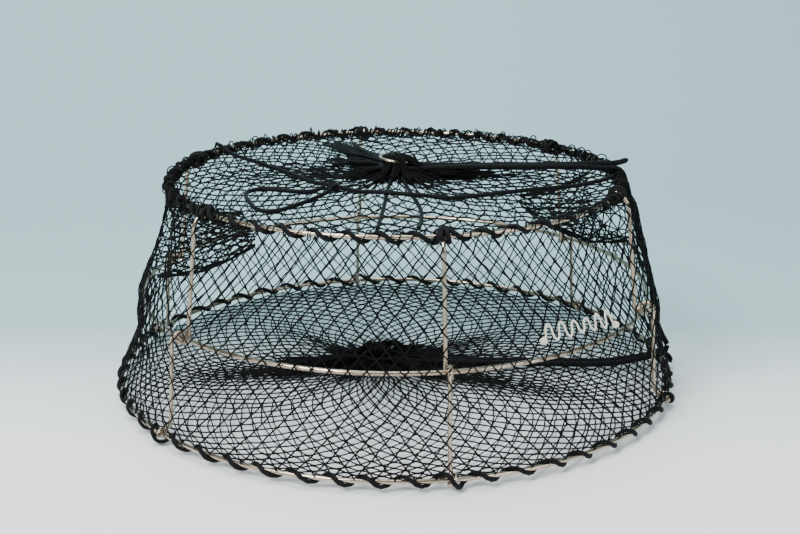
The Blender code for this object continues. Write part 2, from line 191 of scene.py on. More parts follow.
class Wire:
    """A shader socket that adds, subtracts, multiplies and divides like a number."""

    def __init__(self, tree, socket=None):
        self.tree, self.socket = tree, socket

    def node(self, kind, settings=None, output=0, **inputs):
        """A node of this kind with its settings made and its sockets set or linked."""
        made = self.tree.nodes.new(kind)
        for name, value in (settings or {}).items():
            if name == "stops":
                ramp = made.color_ramp
                while len(ramp.elements) < len(value):
                    ramp.elements.new(0.5)
                for element, (place, colour) in zip(ramp.elements, value):
                    element.position, element.color = place, colour
            else:
                setattr(made, name, value)
        for name, value in inputs.items():
            numbered = name[0] == "i" and name[1:].isdigit()
            key = int(name[1:]) if numbered else name.replace("_", " ")
            socket = made.inputs[key]
            if isinstance(value, Wire):
                self.tree.links.new(value.socket, socket)
            else:
                socket.default_value = value
        return Wire(self.tree, made.outputs[output])

    def maths(self, operation, a, b=0.0):
        return self.node("ShaderNodeMath", {"operation": operation}, i0=a, i1=b)

    def __add__(self, other):
        return self.maths("ADD", self, other)

    def __sub__(self, other):
        return self.maths("SUBTRACT", self, other)

    def __mul__(self, other):
        return self.maths("MULTIPLY", self, other)

    def __truediv__(self, other):
        return self.maths("DIVIDE", self, other)

    def sine(self):
        return self.maths("SINE", self)

    def blend(self, low, high):
        """The colour low where this is 0, high where it is 1."""
        return self.node("ShaderNodeMix", {"data_type": "RGBA"}, 2, i0=self, i6=low, i7=high)


def finish(name):
    """A new material, its Principled shader and a wire to build its nodes from."""
    material = bpy.data.materials.new(name)
    material.use_nodes = True
    return material, material.node_tree.nodes["Principled BSDF"], Wire(material.node_tree)


def two_axes(start, output):
    """The x and the y of this output of the texture coordinates: 2 is the map, 3 the object."""
    place = start.node("ShaderNodeTexCoord", output=output)
    split = start.node("ShaderNodeSeparateXYZ", i0=place)
    return split, Wire(start.tree, split.socket.node.outputs[1])


def surface(material, shader, start, colour, roughness, height, distance):
    """Colour, roughness and a bump, height times distance in metres, into the shader."""
    tree = material.node_tree
    tree.links.new(colour.socket, shader.inputs["Base Color"])
    tree.links.new(roughness.socket, shader.inputs["Roughness"])
    bump = start.node("ShaderNodeBump", Strength=1.0, Distance=distance, Height=height)
    tree.links.new(bump.socket, shader.inputs["Normal"])


def braided(name, diameter, carriers, lay):
    """Black braid: two sets of k yarns, sin(2 pi (turn k + distance/lay)) times
    sin(2 pi (turn k - distance/lay)), with fuzz."""
    material, shader, start = finish(name)
    along, across = two_axes(start, 2)
    first = ((across * carriers + along / lay) * (2 * math.pi)).sine()
    second = ((across * carriers - along / lay) * (2 * math.pi)).sine()
    weave = first * second * 0.5 + 0.5
    body = start.node("ShaderNodeTexCoord", output=3)
    fuzz = start.node("ShaderNodeTexNoise", Vector=body, Scale=900.0, Detail=4.0, Roughness=0.7)
    drift = start.node("ShaderNodeTexNoise", Vector=body, Scale=38.0, Detail=3.0)
    shade = weave * 0.45 + fuzz * 0.35 + drift * 0.35
    colour = shade.blend((0.0008, 0.0008, 0.0010, 1), (0.0085, 0.0085, 0.0095, 1))
    surface(material, shader, start, colour, fuzz * 0.25 + 0.42, weave + fuzz * 0.25,
            diameter * 0.05)
    shader.inputs["Specular IOR Level"].default_value = DULL
    return material


DRAWCORD, BRIDLE, STAY = 6 * MM, 4.4 * MM, 4 * MM
CORD_SIDES = 12


def cord(name, route, diameter, body, material, reference=(0, 0.35, 1), melted=(False, False),
         squashed=False, **facts):
    """A round braided cord along the route, in millimetres. A melted end is rounded off, radius
    r sqrt(1 - (1 - x / r)^2) at x from it; the other ends are cut square."""
    line = through(np.array(route, float) * MM, diameter * 0.5)
    reach = line_length(line)
    travel = np.concatenate([[0], np.cumsum(np.linalg.norm(np.diff(line, axis=0), axis=1))])
    radius = np.full(len(line), 0.5 * diameter)
    for is_melted, distance in zip(melted, (travel, reach - travel)):
        if is_melted:
            radius *= np.sqrt(1 - np.clip(1 - distance / (0.5 * diameter), 0, 0.92) ** 2)
    rib = 1 + 0.02 * np.sin(travel[:, None] / (1.1 * diameter) * 2 * np.pi
                            + 3 * 2 * np.pi * np.arange(CORD_SIDES) / CORD_SIDES)
    made = solid(name, *tubes(line[None], (radius[:, None] * rib)[None], CORD_SIDES, reference))
    made.data.materials.append(material)
    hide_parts(name)
    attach(made, body)
    if squashed:
        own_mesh(made)


drawcord_braid = braided("drawcord_braid", DRAWCORD, 8, 15 * MM)
cord("drawcord_top", [
    (250, 22, HIGH + 13.6), (241, 17.5, HIGH + 11.8), (230, 13, HIGH + 11.3),
    (205, 9.5, HIGH + 11.3), (180, 7.5, HIGH + 11.4), (120, 5, HIGH + 11.2),
    (60, 6, HIGH + 10.8), (26, 10, HIGH + 10.6),
    (8, 14.2, HIGH + 10.6), (-8, 12.8, HIGH + 10.6), (-14.8, 3, HIGH + 10.6),
    (-12.4, -8, HIGH + 10.6), (-3, -14.4, HIGH + 10.6), (14, -12, HIGH + 10.6),
    (60, -4.5, HIGH + 10.8), (120, -3, HIGH + 11.2), (180, -1, HIGH + 11),
    (206, 2, HIGH + 9.4), (222, 4.2, HIGH + 8.3), (232, 5.6, HIGH + 7.9),
    (238.1, 6.2, HIGH + 6.3), (241.3, 6.4, HIGH + 3.5), (243.7, 6.5, HIGH - 0.5),
    (245.9, 6.5, HIGH - 7),
], DRAWCORD, "lid", drawcord_braid, melted=(True, False), far_end="object", stiffness="limp",
    lay="taut")
cord("drawcord_side", [
    (246.2, 6.5, HIGH - 7.8), (248.6, 6.4, HIGH - 15), (254, 6, HIGH - 35),
    (265, 5, HIGH - 70), (276.6, 4, HIGH - 108), (279.5, 3.5, HIGH - 119),
    (284.5, 2.4, LOW + 56), (291, 1.7, LOW + 38), (296.5, 1.2, LOW + 27), (300, 1, LOW + 20.8),
], DRAWCORD, "waist", drawcord_braid, (0, 1, 0), squashed=True, far_end="object",
    stiffness="limp", lay="taut")
cord("drawcord_bottom", [
    (300.5, 1, LOW + 18.2), (299, 0.8, LOW + 13), (294.9, 0.5, LOW + 8.9), (288.5, 0, LOW + 7),
    (277, -1.5, LOW + 5.4), (258, -4, 12.6), (220, -5, 9.2), (120, -1, 9), (30, 0, 10.5),
    (2, -3.5, 14.4), (-20, -9.6, 15.8), (-30.5, -5.2, 15.8), (-34.6, 4, 15.8),
    (-31, 14.2, 15.8), (-20, 19.6, 15.6), (-6, 17, 14.4), (30, 10.5, 10.5), (120, 7.5, 9),
    (220, 5, 9.2), (258, 5.5, 12.6), (281, 7, LOW + 5.4), (295, 8.2, LOW + 6.2),
    (301, 8.8, LOW + 5.4), (305.6, 9.2, LOW + 1.6), (308, 9.4, LOW - 5),
], DRAWCORD, "base", drawcord_braid, melted=(False, True), far_end="bare", stiffness="limp",
    lay="taut")


# Bridle. A 4.4 mm braided cord from the back left of the top ring, through a knot, to the right
# of the ring, with a hand loop that lies to the left of the knot.
bridle_braid = braided("bridle_braid", BRIDLE, 7, 11 * MM)
cord("bridle_left_leg", [
    (-204, 112, HIGH + 11.4), (-196, 104, HIGH + 9.5), (-182, 88, HIGH + 4),
    (-146, 46, HIGH + 3.2), (-111, -2, HIGH + 3.2), (-86, -40, HIGH + 3.4),
    (-69.5, -61.5, HIGH + 6),
], BRIDLE, "lid", bridle_braid, far_end="knot", stiffness="limp", lay="loose")
cord("bridle_right_leg", [
    (-56, -74, HIGH + 6), (-36, -89, HIGH + 5.4), (-16, -100, HIGH + 7.6), (8, -109, HIGH + 8),
    (28, -114, HIGH + 7.8), (52, -112, HIGH + 4.6), (84, -96, HIGH + 3.2), (116, -81, HIGH + 3.2),
    (146, -68, HIGH + 3.2), (180, -57, HIGH + 3.4), (212, -48, HIGH + 7.5), (224, -44, HIGH + 11),
], BRIDLE, "lid", bridle_braid, far_end="object", stiffness="limp", lay="loose")
cord("bridle_loop", [
    (-71, -74.5, HIGH + 7), (-84, -81, HIGH + 3.6), (-104, -79, HIGH + 3.2),
    (-124, -72, HIGH + 3.2), (-139, -72, HIGH + 3.2), (-148, -84, HIGH + 3.2),
    (-147, -104, HIGH + 3.2), (-140, -128, HIGH + 3.2), (-133, -148, HIGH + 3.2),
    (-123, -158, HIGH + 3.2), (-111, -155, HIGH + 3.2), (-97, -137, HIGH + 3.2),
    (-81, -111, HIGH + 3.2), (-69, -87, HIGH + 3.6), (-65, -79, HIGH + 5),
], BRIDLE, "lid", bridle_braid, far_end="knot", stiffness="limp", lay="loose")


# Bridle knot. The two legs and the loop's ends wound over each other and pulled tight.
turn = np.linspace(0, 2 * np.pi, 240, endpoint=False)
wound = np.stack([
    -63.5 + (4.6 + 1.9 * np.cos(3 * turn)) * np.cos(2 * turn),
    -70 + (4.2 + 1.7 * np.cos(3 * turn)) * np.sin(2 * turn),
    HIGH + 5.4 + 2.1 * np.sin(3 * turn),
], -1) * MM
bridle_knot = solid("bridle_knot", *tubes(wound[None], 2.1 * MM, 10, (0, 0, 1), closed=True))
bridle_knot.data.materials.append(bridle_braid)
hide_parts("bridle_knot")
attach(bridle_knot, "lid")


# Stays. Two 4 mm cords that hold the top gather towards the front of the top ring.
stay_braid = braided("stay_braid", STAY, 7, 10 * MM)
cord("stay_left", [
    (-4, -28, HIGH + 4.6), (-7, -60, HIGH + 3), (-9, -101, HIGH + 2.9), (-12, -155, HIGH + 2.9),
    (-15, -200, HIGH + 2.9), (-16, -220, HIGH + 3.4),
], STAY, "lid", stay_braid, far_end="object", stiffness="limp", lay="taut")
cord("stay_right", [
    (7, -28, HIGH + 4.6), (12, -60, HIGH + 3), (18, -101, HIGH + 2.9), (24, -150, HIGH + 2.9),
    (24, -190, HIGH + 2.9), (21, -219, HIGH + 3.4),
], STAY, "lid", stay_braid, far_end="object", stiffness="limp", lay="taut")


# Rings. Round stainless wire, 4.5 mm, bent to a hoop and butt-welded, with a slight bead at the
# weld.
BOTTOM_R, MIDDLE_R, TOP_R = 297 * MM, 270 * MM, 237 * MM
RING_WIRE = 4.5 * MM


def steel():
    """Drawn stainless wire: long fine scratches, thin brown tarnish in patches."""
    material, shader, start = finish("steel_wire")
    place = start.node("ShaderNodeTexCoord", output=2)
    body = start.node("ShaderNodeTexCoord", output=3)
    stretched = start.node("ShaderNodeMapping", Vector=place, Scale=(140.0, 9.0, 1.0))
    scratch = start.node("ShaderNodeTexNoise", Vector=stretched, Scale=1.0, Detail=5.0,
                         Roughness=0.65)
    patch = start.node("ShaderNodeTexNoise", Vector=body, Scale=26.0, Detail=5.0, Roughness=0.6)
    stain = start.node("ShaderNodeMapRange", i0=patch, i1=0.48, i2=0.72, i3=0.0, i4=1.0)
    clean = scratch.blend((0.26, 0.20, 0.14, 1), (0.74, 0.63, 0.48, 1))
    colour = start.node("ShaderNodeMix", {"data_type": "RGBA"}, 2, i0=stain * 0.55, i6=clean,
                        i7=(0.14, 0.095, 0.055, 1))
    surface(material, shader, start, colour, scratch * 0.12 + stain * 0.16 + 0.12,
            scratch + patch * 0.5, 0.00003)
    shader.inputs["Metallic"].default_value = 1.0
    return material


steel_wire = steel()


def ring(name, radius, z, body, weld):
    """A hoop (R sin a, -R cos a, z) of round wire, 7% thicker at the weld, which fades as
    exp(-(arc / 2.5 mm)^2)."""
    azimuth = 2 * np.pi * np.arange(288) / 288
    centre = at(radius, azimuth, z)
    arc = (((azimuth - weld + np.pi) % (2 * np.pi)) - np.pi) * radius
    bead = np.exp(-(arc / (2.5 * MM)) ** 2)
    thick = 0.5 * RING_WIRE * (1 + 0.07 * bead)[None, :, None]
    made = solid(name, *tubes(centre[None], thick, 14, (0, 0, 1), closed=True))
    made.data.materials.append(steel_wire)
    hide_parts(name)
    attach(made, body)


ring("bottom_ring", BOTTOM_R, bottom_z, "base", 2.1)
ring("middle_ring", MIDDLE_R, middle_z, "middle_hoop", 2.7)
ring("top_ring", TOP_R, top_z, "lid", 3.6)


# Struts. Straight 4 mm wires, six below the middle ring and six above it. Each is bent into an
# eye round the ring that carries it, and into a hook over the middle ring.
STRUT_WIRE = 4 * MM
EYE_R, EYE_TILT = 4.9, math.radians(38)
HOOK_SHIFT, HOOK_WIDE, HOOK_TALL = 2.3, 7.7, 7.2
FIRST_STATION, STATION_STEP = math.radians(10), math.radians(60)


def strut(name, azimuth, radius, z, side, up, far, body):
    """Local x is outwards, y along the ring, z up, in millimetres. The eye is
    (side R cos t, 0, 0) - s R sin t for t from 0 to 300 degrees, where s is the slanted
    direction (0, sin T, up cos T); the hook at the far end is half an ellipse, the same way."""
    slant = np.array((0, math.sin(EYE_TILT), up * math.cos(EYE_TILT)))
    t = np.radians(np.linspace(0, 300, 40))[:, None]
    eye_turn = np.cos(t) * (side * EYE_R, 0, 0) - np.sin(t) * EYE_R * slant
    far = np.array(far, float)
    t = np.radians(np.linspace(190, 0, 26))[:, None]
    hook = far - np.array((side * HOOK_SHIFT, 0, 0)) + np.cos(t) * (-side * HOOK_WIDE, 0, 0)
    hook = hook + np.sin(t) * HOOK_TALL * slant
    jog = np.array([(side * 12.5, 0, up * 15), (side * 11.8, 0, up * 10), (side * 9, 0, up * 5.5),
                    (side * 6, 0, up * 1.8)])
    rod_far = far + (-side * 10, 0, -up * 9)
    rod = rod_far + (jog[0] - rod_far) * np.linspace(0, 1, 12)[:, None]
    bends = np.concatenate([hook, rod[:-1], jog, eye_turn])
    line = through(bends, 1.2) * MM
    outwards, along = at(1, azimuth, 0), np.array((math.cos(azimuth), math.sin(azimuth), 0))
    line = line[:, :1] * outwards + line[:, 1:2] * along + line[:, 2:] * (0, 0, 1)
    line = at(radius, azimuth, z) + line
    made = solid(name, *tubes(line[None], 0.5 * STRUT_WIRE, 12, along + 0.02 * outwards))
    made.data.materials.append(steel_wire)
    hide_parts(name)
    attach(made, body)


for k in range(6):
    azimuth = FIRST_STATION + k * STATION_STEP
    strut(f"lower_strut_{k + 1}", azimuth, BOTTOM_R, bottom_z, -1, 1,
          ((MIDDLE_R - BOTTOM_R) / MM, 0, (middle_z - bottom_z) / MM), f"lower_strut_{k + 1}")
    strut(f"upper_strut_{k + 1}", azimuth, TOP_R, top_z, 1, -1,
          ((MIDDLE_R - TOP_R) / MM, 0, (middle_z - top_z) / MM), f"upper_strut_{k + 1}")


# Lashings. A 4.6 mm three-strand rope wound round each of the two outer rings, which binds the
# edge of the netting to the steel. On the top ring, three tight turns cover each strut's eye.
def twisted(name, lay, dark, light):
    """Three-strand rope: fine diagonal yarns, sin(2 pi (9 turn - distance/lay)), and fuzz."""
    material, shader, start = finish(name)
    along, across = two_axes(start, 2)
    yarn = ((across * 9.0 - along / lay) * (2 * math.pi)).sine() * 0.5 + 0.5
    body = start.node("ShaderNodeTexCoord", output=3)
    fuzz = start.node("ShaderNodeTexNoise", Vector=body, Scale=1100.0, Detail=4.0, Roughness=0.7)
    drift = start.node("ShaderNodeTexNoise", Vector=body, Scale=45.0, Detail=3.0)
    shade = yarn * 0.4 + fuzz * 0.4 + drift * 0.3
    colour = shade.blend(dark, light)
    surface(material, shader, start, colour, fuzz * 0.25 + 0.4, yarn + fuzz * 0.3, 0.0002)
    shader.inputs["Specular IOR Level"].default_value = DULL
    return material


lashing_rope = twisted("lashing_rope", 4 * MM, (0.0008, 0.0009, 0.0011, 1),
                       (0.012, 0.0125, 0.0135, 1))
ROPE_SIDES, ROPE_LAY = 12, 15 * MM
ROPE_R, WRAP_R = 2.3 * MM, 2.0 * MM
LASH_OFF, LASH_BULGE = 4.3, 4.2


def strand_sections(centre, size):
    """The radii of a three-strand rope along a closed line, with a whole number of lays in it:
    r (1 + 0.1 cos(3 a - 2 pi lays share))."""
    step = np.linalg.norm(np.roll(centre, -1, 0) - centre, axis=1)
    travel = np.cumsum(step) - step
    lays = round(step.sum() / ROPE_LAY)
    turn = 2 * np.pi * np.arange(ROPE_SIDES) / ROPE_SIDES
    twist = 2 * np.pi * lays * travel[:, None] / step.sum()
    return size * (1 + 0.10 * np.cos(3 * turn[None] - twist))


def lashing(name, radius, z, turns, side, body, seed, wraps):
    """A helix round the ring: angle = -turns azimuth, offset 4.3 mm and 4.2 mm more over each
    eye, which fades as exp(-(arc / 8 mm)^4). The rope is pressed flat: its section is 0.8 as
    thick as it is wide. Each wrap is (place along the ring, radius) in mm from a station."""
    count = turns * 32
    azimuth = 2 * np.pi * np.arange(count) / count
    from_station = (azimuth - FIRST_STATION + STATION_STEP / 2) % STATION_STEP - STATION_STEP / 2
    arc = from_station * radius
    phase = 0 if side > 0 else np.pi
    rng = np.random.default_rng(seed)
    wander = sum(rng.normal(0, 0.14) * np.cos(m * azimuth + rng.uniform(0, 6.3))
                 for m in (5, 7, 11, 17))
    calm = 1 - np.exp(-(arc / (14 * MM)) ** 2)
    winding = -turns * from_station + phase + wander * calm
    bulge = LASH_BULGE * np.exp(-((arc / (8 * MM)) ** 4))
    off = (LASH_OFF + 0.3 * np.cos(7 * azimuth) * calm + bulge) * MM
    centre = at(radius + off * np.cos(winding), azimuth, z + off * np.sin(winding))
    outwards = at(np.cos(winding), azimuth, np.sin(winding))
    turn = 2 * np.pi * np.arange(ROPE_SIDES) / ROPE_SIDES
    flat = 1 - 0.2 * np.cos(turn) ** 2
    rope = [tubes(centre[None], (strand_sections(centre, ROPE_R) * flat)[None], ROPE_SIDES,
                  outwards[None], closed=True)]
    for station in range(6):
        middle = FIRST_STATION + station * STATION_STEP
        for offset, reach in wraps:
            t = 2 * np.pi * np.arange(36) / 36
            lean = 1.6 * MM * np.sin(t + rng.uniform(0, 6.3))
            wrap = (reach + 0.5 * np.cos(2 * t + rng.uniform(0, 6.3))) * MM
            loop = at(radius + wrap * np.cos(t), middle + (offset * MM + lean) / radius,
                      z + wrap * np.sin(t))
            facing = at(np.cos(t), middle, np.sin(t))
            rope.append(tubes(loop[None], (strand_sections(loop, WRAP_R) * flat)[None],
                              ROPE_SIDES, facing[None], closed=True))
    made = solid(name, *joined(*rope))
    made.data.materials.append(lashing_rope)
    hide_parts(name)
    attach(made, body)


lashing("bottom_lashing", BOTTOM_R, bottom_z, 54, 1, "base", 3, ())
lashing("top_lashing", TOP_R, top_z, 48, -1, "lid", 5, ((-4.4, 6.4), (0.2, 7.6), (4.6, 6.6)))


# Netting. Knotted black twine, 1.5 mm: every bar runs from knot to knot, a little slack.
TWINE = 1.5 * MM
TWINE_SIDES = 4
net_twine = twisted("net_twine", 2.4 * MM, (0.0008, 0.0008, 0.0010, 1), (0.0095, 0.009, 0.009, 1))


def bars(starts, ends, bow):
    """Bars of twine from each start to its end, (1-t) A + t B + 4 t (1-t) bow."""
    t = np.linspace(0, 1, 4)[None, :, None]
    starts, ends, bow = starts[:, None], ends[:, None], bow[:, None]
    paths = starts * (1 - t) + ends * t + 4 * t * (1 - t) * bow
    reference = np.cross(ends - starts, (0.13, 0.21, 0.97))
    return tubes(paths, 0.5 * TWINE, TWINE_SIDES, reference)


def knots(places, size):
    """A small eight-faced lump on each place, stretched and turned its own way."""
    rng = np.random.default_rng(len(places))
    corner = np.array([(1, 0, 0), (0, 1, 0), (-1, 0, 0), (0, -1, 0), (0, 0, 1), (0, 0, -1)], float)
    face = np.array([(0, 1, 4), (1, 2, 4), (2, 3, 4), (3, 0, 4),
                     (1, 0, 5), (2, 1, 5), (3, 2, 5), (0, 3, 5)])
    spin = rng.uniform(0, 2 * np.pi, len(places))
    c, s, o = np.cos(spin), np.sin(spin), np.zeros(len(places))
    turned = np.stack([np.stack([c, -s, o], -1), np.stack([s, c, o], -1),
                       np.stack([o, o, o + 1], -1)], 1)
    reach = size * rng.uniform(0.85, 1.2, (len(places), 1, 3))
    points = places[:, None] + reach * np.einsum("nij,kj->nki", turned, corner)
    faces = face[None] + 6 * np.arange(len(places))[:, None, None]
    return points.reshape(-1, 3), [faces.reshape(-1, 3)], np.zeros((24 * len(places), 2))


def diamond_mesh(grid, rng, slack, keep=None):
    """Bars and knots of a net from its knots, an array (row, column, xyz). Column c of a row
    sits half a mesh further round than column c of the row before, so each knot ties to
    columns c and c - 1 of the next row."""
    rows = len(grid) - 1
    first = np.concatenate([grid[:-1].reshape(-1, 3)] * 2)
    second = np.concatenate([grid[1:].reshape(-1, 3), np.roll(grid[1:], 1, 1).reshape(-1, 3)])
    bow = rng.normal(0, 1, first.shape) * slack * np.linalg.norm(second - first, axis=1)[:, None]
    places = grid.reshape(-1, 3)
    if keep is not None:
        middle = (first + second) / 2
        chosen = keep(middle)
        first, second, bow = first[chosen], second[chosen], bow[chosen]
        places = places[keep(places)]
    return joined(bars(first, second, bow), knots(places, 0.95 * TWINE))


def net(name, body, parts, squashed=False):
    made = solid(name, *joined(*parts))
    made.data.materials.append(net_twine)
    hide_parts(name)
    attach(made, body)
    if squashed:
        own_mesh(made)


# Bottom net. A flat round net drawn together near the middle: a strand that leaves the gather
# at azimuth p runs along the circle r = D sin(a - p), and its mirror image crosses it.
def gathered_net(meshes, size, rows, centre, lobes, bunches, seed):
    """Knots (row, column) at r = D sin(pi k / N), azimuth 2 pi (c + k/2) / N; the lobes
    turn strands from the front and back to the sides, and each bunch, (azimuth, half width,
    pull, how fast it fades outwards), draws the strands near its azimuth together."""
    rng = np.random.default_rng(seed)
    k = np.arange(1, rows + 1)[:, None]
    c = np.arange(meshes)[None]
    r = size * np.sin(np.pi * k / meshes) + 0 * c
    azimuth = 2 * np.pi * (c + k / 2) / meshes
    inward = np.clip(1 - r / r.max(), 0, 1)
    azimuth = azimuth + lobes * np.sin(2 * azimuth) * inward ** 0.6
    for place, width, pull, reach in bunches:
        gap = (azimuth - math.radians(place) + np.pi) % (2 * np.pi) - np.pi
        near = np.exp(-((gap / math.radians(width)) ** 2))
        azimuth = azimuth - pull * gap * near * inward ** reach
    edge = np.clip((r.max() - r) / (30 * MM), 0, 1)
    for m, amount in ((3, 1.6), (5, 1.2), (9, 0.9), (14, 0.6)):
        a, b = rng.uniform(0, 6.3, 2)
        wave = np.sin(m * azimuth + a + 18 * r / size) * edge * np.minimum(1, r / 0.06)
        r = r + amount * MM * wave
        wave = np.sin(m * azimuth + b) * edge
        azimuth = azimuth + 0.25 * amount * MM / np.maximum(r, 0.03) * wave
    spot = at(r, azimuth, 0)
    spot[..., :2] += np.array(centre) * ((1 - r / r.max()) ** 1.2)[..., None]
    spot += rng.normal(0, 0.45 * MM, spot.shape) * edge[..., None]
    return spot, r, rng


def loose(strands, count):
    """Smooth lines through each strand's few knots, an array (strand, knot, xyz)."""
    held = np.concatenate([2 * strands[:, :1] - strands[:, 1:2], strands,
                           2 * strands[:, -1:] - strands[:, -2:-1]], 1)
    t = np.linspace(0, strands.shape[1] - 1, count)
    i = np.minimum(t.astype(int), strands.shape[1] - 2)
    t = (t - i)[None, :, None]
    a, b, c, d = (held[:, i + j] for j in range(4))
    return 0.5 * (2 * b + (c - a) * t + (2 * a - 5 * b + 4 * c - d) * t ** 2
                  + (3 * b - a - 3 * c + d) * t ** 3)


def hem(radius, z, start, stop, turns, seed, size=TWINE):
    """The net's edge wound round a ring: a strand from azimuth start to stop, offset 4.2 mm,
    give or take 1.8 mm, and up to 5.5 mm more in a slack loop here and there."""
    rng = np.random.default_rng(seed)
    count = turns * 13
    azimuth = np.linspace(math.radians(start), math.radians(stop), count)
    share = np.arange(count) / count
    winding = turns * 2 * np.pi * share
    off = np.full(count, 4.2)
    for m in (9, 23, 41):
        winding = winding + rng.normal(0, 0.6) * np.sin(m * azimuth + rng.uniform(0, 6.3))
        off = off + 0.6 * np.sin(m * 1.7 * azimuth + rng.uniform(0, 6.3))
    slack = np.clip(np.sin(turns * 0.37 * 2 * np.pi * share + rng.uniform(0, 6.3)), 0, 1) ** 10
    off = (off + 5.5 * slack * rng.uniform(0.2, 1, turns + 1)[(share * turns).astype(int)]) * MM
    line = at(radius + off * np.cos(winding), azimuth + 0.008 * np.sin(winding * 0.5),
              z + off * np.sin(winding))
    outwards = at(np.cos(winding), azimuth, np.sin(winding))
    return tubes(line[None], 0.5 * size, 5, outwards[None])


spot, r, rng = gathered_net(
    84, 0.3125, 32, (-20 * MM, 5 * MM), 0.2,
    [(-80, 26, 0.92, 0.7), (66, 22, 0.9, 0.8), (-135, 20, 0.85, 1.0), (128, 22, 0.85, 1.0),
     (104, 14, 0.7, 1.2), (-48, 14, 0.6, 1.4)], 11)
FLOOR_Z, UNDER_RING = 5.2 * MM, 3.4 * MM
rim = np.clip((r - 0.262) / 0.034, 0, 1)
spot[..., 2] = (FLOOR_Z + (bottom_z - FLOOR_Z - UNDER_RING) * rim ** 2
                + 5 * MM * np.exp(-((r / 0.03) ** 2)))
net("bottom_net", "base", [diamond_mesh(spot, rng, 0.03)])


# Top net. The same netting inside the top ring, drawn up through the small ring in its middle.
spot, r, rng = gathered_net(
    48, 0.264, 17, (0, 0), 0.1,
    [(-112, 70, 0.5, 0.7), (-154, 22, 0.92, 0.5), (-35, 24, 0.7, 1.1), (95, 20, 0.8, 1.0),
     (35, 20, 0.65, 1.3)], 23)
spot[..., 2] = top_z - 1.5 * MM + 9 * MM * np.exp(-((r / 0.028) ** 2))
net("top_net", "lid", [
    diamond_mesh(spot, rng, 0.06),
    hem(TOP_R, top_z, 44, 318, 150, 61), hem(TOP_R, top_z, 60, 322, 130, 62),
    hem(TOP_R, top_z, 75, 300, 120, 63), hem(TOP_R, top_z, -42, 44, 34, 64, 1.3 * MM),
])


# Side net. One tube of netting round the outside of the frame, from ring to ring.
def side_radius(z, azimuth):
    """From ring to ring, just outside each, and propped out by the struts like a tent: each
    prop fades as exp(-(azimuth from the station / 12 degrees)^2). Between the props it sags in
    by up to 2.5 mm below the middle ring and 5 mm above it."""
    heights = [bottom_z, bottom_z + 18 * MM, bottom_z + 52 * MM, middle_z, top_z - 10 * MM, top_z]
    wall = np.interp(z, heights, [BOTTOM_R + 3.5 * MM, BOTTOM_R - 3.4 * MM, MIDDLE_R + 9.6 * MM,
                                  MIDDLE_R + 4.2 * MM, TOP_R + 3.2 * MM, TOP_R + 3.2 * MM])
    prop = np.interp(z, heights, [0, 4 * MM, 9.4 * MM, 9.6 * MM, 15.5 * MM, 0])
    bay = np.interp(z, [bottom_z, middle_z, top_z], [0, 1, 2])
    sag = np.where(bay < 1, 2.5 * MM, 5 * MM) * np.sin(np.pi * bay) ** 2
    aside = (azimuth - FIRST_STATION + STATION_STEP / 2) % STATION_STEP - STATION_STEP / 2
    near = np.exp(-(aside / math.radians(12)) ** 2)
    return wall + prop * near - sag * (1 - near)


rng = np.random.default_rng(31)
ROWS, ROUND = 20, 102
k = np.arange(ROWS + 1)[:, None]
c = np.arange(ROUND)[None]
azimuth = 2 * np.pi * (c + k / 2) / ROUND
z = bottom_z + 3 * MM + (top_z - bottom_z - 6 * MM) * k / ROWS + 0 * c
inner = np.sin(np.pi * k / ROWS)
for m, amount in ((4, 1.4), (7, 1.2), (13, 0.9), (21, 0.6)):
    a, b = rng.uniform(0, 6.3, 2)
    z = z + amount * MM * np.sin(m * azimuth + a + 9 * k / ROWS) * inner
    azimuth = azimuth + 0.5 * amount * MM / 0.28 * np.sin(m * azimuth + b + 5 * k / ROWS) * inner
spot = at(side_radius(z, azimuth), azimuth, z)
spot = spot + rng.normal(0, 0.5 * MM, (ROWS + 1, ROUND, 3)) * inner[..., None]
MOUTH_AZIMUTHS = (math.radians(105), math.radians(285))
MOUTH_HALF = math.radians(14)
MOUTH_LOW, MOUTH_HIGH = middle_z + 36 * MM, top_z - 14 * MM


def outside_mouths(places):
    """Whether each place is outside both oval mouths of the entrances."""
    turn = np.arctan2(places[:, 0], -places[:, 1])
    high = (places[:, 2] - (MOUTH_LOW + MOUTH_HIGH) / 2) / ((MOUTH_HIGH - MOUTH_LOW) / 2)
    clear = np.ones(len(places), bool)
    for mouth in MOUTH_AZIMUTHS:
        wide = ((turn - mouth + np.pi) % (2 * np.pi) - np.pi) / MOUTH_HALF
        clear &= wide ** 4 + high ** 4 > 1
    return clear


net("side_net", "waist", [diamond_mesh(spot, rng, 0.03, outside_mouths)], squashed=True)


# Entrances. Two funnels of netting that narrow from a mouth in the side net to a slit inside.
SLIT_R, SLIT_Z = 160 * MM, middle_z + 70 * MM
SLIT_HALF_WIDE, SLIT_HALF_TALL = 50 * MM, 9 * MM
FUNNEL_SAG = 7 * MM


